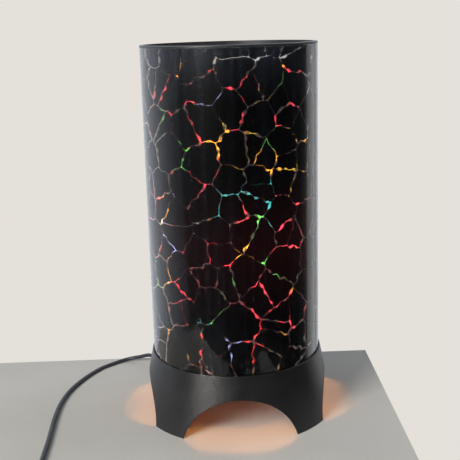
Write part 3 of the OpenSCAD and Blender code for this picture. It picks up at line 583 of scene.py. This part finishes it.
def crack(low, high, start, end):
    """Steps along the crack between two cells: its middle, its half width and the way to the lower cell."""
    rng = random.Random(low * CRACK_SEED + high)
    run = end - start
    length = run.length
    way = run / length
    left = Vector((-way.y, way.x))
    kinks = max(1, round(length / KINK_STEP))
    bends = [0.0] + [rng.uniform(-KINK, KINK) for _ in range(kinks - 1)] + [0.0]
    thin = rng.uniform(*THIN)
    closed_from = rng.uniform(*CLOSED_FROM) if rng.random() < CLOSED_SHARE else 1.0
    places = 0 if rng.random() < PLAIN_SHARE else round(length / SPOT_SPACING)
    spots = []
    for k in range(places):
        middle = length * (k + rng.uniform(*SPOT_PLACE)) / places
        reach = rng.uniform(*SPOT_REACH)
        extra = rng.uniform(*SPOT_EXTRA)
        spots.append((middle, reach, extra, rng.uniform(-SPOT_SKEW, SPOT_SKEW)))
    steps = max(2, round(length / CRACK_STEP))
    line = []
    for k in range(steps + 1):
        along = k / steps * kinks
        kink = min(int(along), kinks - 1)
        share = along - kink
        bend = bends[kink] * (1 - share) + bends[kink + 1] * share
        half = thin + rng.uniform(-RAGGED, RAGGED)
        for middle, reach, extra, skew in spots:
            off = (length * k / steps - middle) / reach
            if abs(off) < 1:
                half = max(half, thin + extra * (1 - off * off) * (1 + skew * off))
        if k / steps > closed_from:
            half = CLOSED
        line.append((start + way * (length * k / steps) + left * bend, half, left))
    return line


def lay_cracks():
    """The outline of each cell of the print, and the cracks between the cells."""
    places, owners, inner = lay_sites()
    count = len(inner)
    found = geometry.delaunay_2d_cdt(places, [], [], ALL_POINTS, SAME_POINT)
    sources = found[3]
    corners = [[] for _ in range(count)]
    for face in found[2]:
        ids = [sources[k][0] for k in face]
        centre = circle_centre(*[places[k] for k in ids])
        for k in ids:
            if k < count:
                corners[k].append((centre, set(ids)))
    outlines = []
    cracks = {}
    for site in [k for k in range(count) if inner[k]]:
        here = places[site]
        ring = sorted(corners[site], key=lambda c: math.atan2(c[0].y - here.y, c[0].x - here.x))
        outline = []
        for (start, first), (end, second) in edges(ring):
            shared = (first & second) - {site}
            if not shared or (end - start).length < SHORTEST_CRACK:
                continue
            other = owners[shared.pop()]
            if site < other:
                line = crack(site, other, start, end)
            else:
                line = [(p, half, -left) for p, half, left in reversed(crack(other, site, end, start))]
            cracks[(min(site, other), max(site, other))] = line
            outline += [p + left * half for p, half, left in line[1:-1]]
        outlines.append(outline)
    return outlines, cracks


def clipped(outline, limit, sign):
    """The part of an outline above (sign 1) or below (sign -1) a height."""
    kept = []
    for a, b in edges(outline):
        a_in = (a.y - limit) * sign >= 0
        b_in = (b.y - limit) * sign >= 0
        if a_in:
            kept.append(a)
        if a_in != b_in:
            kept.append(a + (b - a) * ((limit - a.y) / (b.y - a.y)))
    return kept


def inside(point, outline):
    odd = False
    for a, b in edges(outline):
        if (a.y > point.y) != (b.y > point.y):
            if point.x < a.x + (b.x - a.x) * (point.y - a.y) / (b.y - a.y):
                odd = not odd
    return odd


def inner_points(outline):
    """A grid of points inside an outline, so that its faces follow the sleeve's curve."""
    left = min(p.x for p in outline)
    width = max(p.x for p in outline) - left
    foot = min(p.y for p in outline)
    height = max(p.y for p in outline) - foot
    points = []
    for i in range(int(width / INNER_STEP)):
        for j in range(int(height / INNER_STEP)):
            point = Vector((left + (i + INNER_START) * INNER_STEP, foot + (j + INNER_START) * INNER_STEP))
            if inside(point, outline):
                points.append(point)
    return points


def spaced(outline):
    """The outline with points added along its long edges, so that they follow the sleeve's curve."""
    points = []
    for a, b in edges(outline):
        steps = max(1, math.ceil((b - a).length / EDGE_STEP))
        points += [a + (b - a) * (k / steps) for k in range(steps)]
    return points


def rolled(point, radius):
    """A point of the unrolled layout, rolled up round the lamp's axis."""
    angle = point.x / PRINT_R
    return (radius * math.sin(angle), -radius * math.cos(angle), point.y)


def thicken(piece, thickness):
    """Thickness added behind the piece's faces."""
    solid = piece.modifiers.new("thickness", "SOLIDIFY")
    solid.thickness = thickness
    solid.offset = -1


def add_print(outlines):
    vertices = []
    faces = []
    for outline in outlines:
        outline = clipped(clipped(outline, PRINT_LOW, 1), PRINT_HIGH, -1)
        if len(outline) < 3:
            continue
        outline = spaced(outline)
        points = outline + inner_points(outline)
        border = [list(range(len(outline)))]
        found = geometry.delaunay_2d_cdt(points, [], border, INSIDE_OUTLINE, SAME_POINT)
        first = len(vertices)
        vertices += [rolled(p, PRINT_R) for p in found[0]]
        faces += [[first + k for k in face] for face in found[2]]
    piece = add_piece("crackle_print", vertices, faces, print_black(), "base")
    thicken(piece, PRINT_THICKNESS)


def add_lacquer(cracks):
    vertices = []
    faces = []
    for number, line in enumerate(cracks.values()):
        line = [step for step in line if LACQUER_LOW < step[0].y < PRINT_HIGH]
        first = len(vertices)
        radius = LACQUER_R + LACQUER_STAGGER * (number % LACQUER_LEVELS)
        for p, half, left in line:
            side = left * min(half + LACQUER_OVERLAP, LACQUER_HALF)
            vertices += [rolled(p - side, radius), rolled(p + side, radius)]
        for k in range(first, first + 2 * len(line) - 2, 2):
            faces.append((k, k + 2, k + 3, k + 1))
    piece = add_piece("crack_lacquer", vertices, faces, lacquer_haze_and_sheen(), "base")
    thicken(piece, LACQUER_THICKNESS)


outlines, cracks = lay_cracks()
add_print(outlines)
add_lacquer(cracks)

# Marks of the switch: a painted bar and ring on the rocker's two slopes
rocker_joint = next(row for row in frame["joints"] if row["name"] == "rocker_tilt")
ROCKER_AXIS = rocker_joint["pos_m"]
ROCKER_TILT = math.radians(rocker_joint["range_deg"][1] / 2)
ROCKER_MIDDLE = 0.0024
ROCKER_RISE = 0.0012
ROCKER_HALF = 0.009
ROCKER_SLOPE = math.atan2(ROCKER_RISE, ROCKER_HALF)
MARK_PLACE = 0.0055
MARK_SUNK = 0.00004
MARK_PROUD = 0.00006
MARK_STEPS = 40
RING_R = 0.0014
RING_BORE_R = 0.0009
BAR_HALF = 0.0011
BAR_R = 0.0003


def round_loop(radius, stretch=0.0):
    """A circle, drawn out along x to both sides."""
    points = []
    for k in range(MARK_STEPS):
        angle = 2 * math.pi * (k + 0.5) / MARK_STEPS
        x = radius * math.cos(angle)
        points.append((x + math.copysign(stretch, x), radius * math.sin(angle)))
    return points


def add_mark(name, loops, side):
    """A thin closed form between two level loops, or within one, laid on the rocker's slope to one side."""
    rise = ROCKER_MIDDLE + MARK_PLACE * math.tan(ROCKER_SLOPE)
    lie = Matrix.Translation(ROCKER_AXIS) @ Matrix.Rotation(-ROCKER_TILT, 4, "Y")
    lie = lie @ Matrix.Translation((side * MARK_PLACE, 0, rise))
    lie = lie @ Matrix.Rotation(-side * ROCKER_SLOPE, 4, "Y")
    vertices = []
    for loop in loops:
        for height in (-MARK_SUNK, MARK_PROUD):
            vertices += [lie @ Vector((x, y, height)) for x, y in loop]
    count = MARK_STEPS
    faces = band(count, 0, count)
    if len(loops) == 2:
        faces += band(count, 3 * count, 2 * count)
        faces += band(count, count, 3 * count)
        faces += band(count, 2 * count, 0)
    else:
        faces += [tuple(range(count, 2 * count)), tuple(reversed(range(count)))]
    add_piece(name, vertices, faces, LOOKS["mark_paint"], "rocker")


add_mark("rocker_bar", [round_loop(BAR_R, BAR_HALF)], -1)
add_mark("rocker_ring", [round_loop(RING_R), round_loop(RING_BORE_R)], 1)

# Stage: a plain pale slab, a pale room and soft light
SLAB_LEFT = -0.265
SLAB_RIGHT = 0.14
SLAB_FRONT = -0.232
SLAB_BACK = 0.108
SLAB_DEPTH = 0.03
SLAB_CORNER = 0.03
CORNER_STEPS = 16
ROOM_COLOUR = (0.78, 0.75, 0.7)
FILL_COLOUR = (0.9, 0.93, 1)
FILL_STRENGTH = 0.1
GLOSS_COLOUR = (0.78, 0.83, 0.92)
GLOSS_WAY = (-0.47, 0.88, 0)
GLOSS_REACH = (-0.15, 0.85)
GLOSS_STRENGTH = (0.015, 1.0)
# Softboxes: place, the point that it faces, width, height, watts and colour
SOFTBOXES = {
    "key": ((-1.36, -1.63, 1.15), (0, 0, 0.12), 0.85, 0.85, 66, (1.0, 0.97, 0.92)),
    "fill": ((1.7, 0.6, 1.3), (0, 0, 0.15), 1.2, 1.2, 8, (0.92, 0.96, 1.0)),
    "top": ((0, 0.1, 2.0), (0, 0, 0.1), 4.0, 4.0, 24, (0.92, 0.95, 1.0)),
    "side": ((0.89, 0.58, -0.06), (0, 0, 0.15), 0.46, 0.75, 0.6, (1.0, 0.98, 0.95)),
}
BULB_WATTS = 0.62
BULB_COLOUR = (1.0, 0.36, 0.045)
BULB_LIGHT_R = 0.012


def slab_pale():
    """Pale, matt and faintly clouded."""
    look = Look("slab_pale", specular_ior_level=0.2)
    cloud = look.noise(scale=9, detail=4)
    fine = look.noise(scale=300)
    tone = look.add(look.times(cloud, 0.7), look.times(fine, 0.3))
    stops = list(zip(NOISE_MIDDLE, ((0.44, 0.43, 0.405), (0.5, 0.49, 0.465))))
    look.join(look.ramp(tone, stops), "Base Color")
    look.join(look.span(fine, NOISE_WIDE, (0.55, 0.75)), "Roughness")
    look.bump(fine, depth=0.00005)
    return look.material


def slab_outline():
    """A plate with rounded front corners, counterclockwise from its back right corner."""
    points = [(SLAB_RIGHT, SLAB_BACK), (SLAB_LEFT, SLAB_BACK)]
    for x, first in ((SLAB_LEFT + SLAB_CORNER, 180), (SLAB_RIGHT - SLAB_CORNER, 270)):
        y = SLAB_FRONT + SLAB_CORNER
        for k in range(CORNER_STEPS + 1):
            angle = math.radians(first + 90 * k / CORNER_STEPS)
            points.append((x + SLAB_CORNER * math.cos(angle), y + SLAB_CORNER * math.sin(angle)))
    return points


def add_slab():
    outline = slab_outline()
    count = len(outline)
    vertices = [(x, y, -SLAB_DEPTH) for x, y in outline] + [(x, y, 0) for x, y in outline]
    faces = [tuple(reversed(range(count))), tuple(range(count, 2 * count))] + band(count, 0, count)
    slab = add_mesh("slab", vertices, faces, slab_pale())


def add_room():
    """Pale room. Its gloss in the lamp is brightest behind and to the left, and dim in front and to the
    right."""
    world = bpy.data.worlds.new("room")
    scene.world = world
    world.use_nodes = True
    tree = world.node_tree
    tree.nodes.clear()
    ray = add_node(tree, "LightPath").outputs
    way = add_node(tree, "TexCoord").outputs["Generated"]
    toward = add_node(tree, "VectorMath", (0, way), (1, GLOSS_WAY), operation="DOT_PRODUCT")
    inputs = ranges(toward.outputs["Value"], GLOSS_REACH, GLOSS_STRENGTH)
    strength = add_node(tree, "MapRange", *inputs, interpolation_type="SMOOTHSTEP").outputs[0]
    seen = add_node(tree, "Background", ("Color", (*ROOM_COLOUR, 1))).outputs[0]
    gloss = add_node(tree, "Background", ("Color", (*GLOSS_COLOUR, 1)), ("Strength", strength)).outputs[0]
    fill = add_node(tree, "Background", ("Color", (*FILL_COLOUR, 1)), ("Strength", FILL_STRENGTH)).outputs[0]
    straight = [(0, ray["Is Camera Ray"]), (1, ray["Is Transmission Ray"])]
    direct = add_node(tree, "Math", *straight, operation="MAXIMUM").outputs[0]
    lighting = add_node(tree, "MixShader", (0, ray["Is Glossy Ray"]), (1, fill), (2, gloss)).outputs[0]
    room = add_node(tree, "MixShader", (0, direct), (1, lighting), (2, seen)).outputs[0]
    add_node(tree, "OutputWorld", (0, room))


def add_light(name, data, place, power, colour):
    data.energy = power
    data.color = colour
    light = bpy.data.objects.new(name, data)
    light.location = place
    light.visible_camera = False
    scene.collection.objects.link(light)
    return light


def add_softbox(name, place, aim, width, height, power, colour):
    data = bpy.data.lights.new(name, "AREA")
    data.shape = "RECTANGLE"
    data.size = width
    data.size_y = height
    light = add_light(name, data, place, power, colour)
    light.rotation_euler = (Vector(aim) - Vector(place)).to_track_quat("-Z", "Y").to_euler()


def add_bulb_light():
    """A warm light in the middle of the bulb's ball, whose glass lets it out."""
    high = node_box("bulb_glass")[1]
    middle = round(high[2] - high[0], 5)
    data = bpy.data.lights.new("bulb_light", "POINT")
    data.shadow_soft_size = BULB_LIGHT_R
    add_light("bulb_light", data, (0, 0, middle), BULB_WATTS, BULB_COLOUR)
    frame["nodes"]["bulb_glass"].visible_shadow = False


add_slab()
add_room()
for name, softbox in SOFTBOXES.items():
    add_softbox(name, *softbox)
add_bulb_light()

bpy.context.view_layer.update()
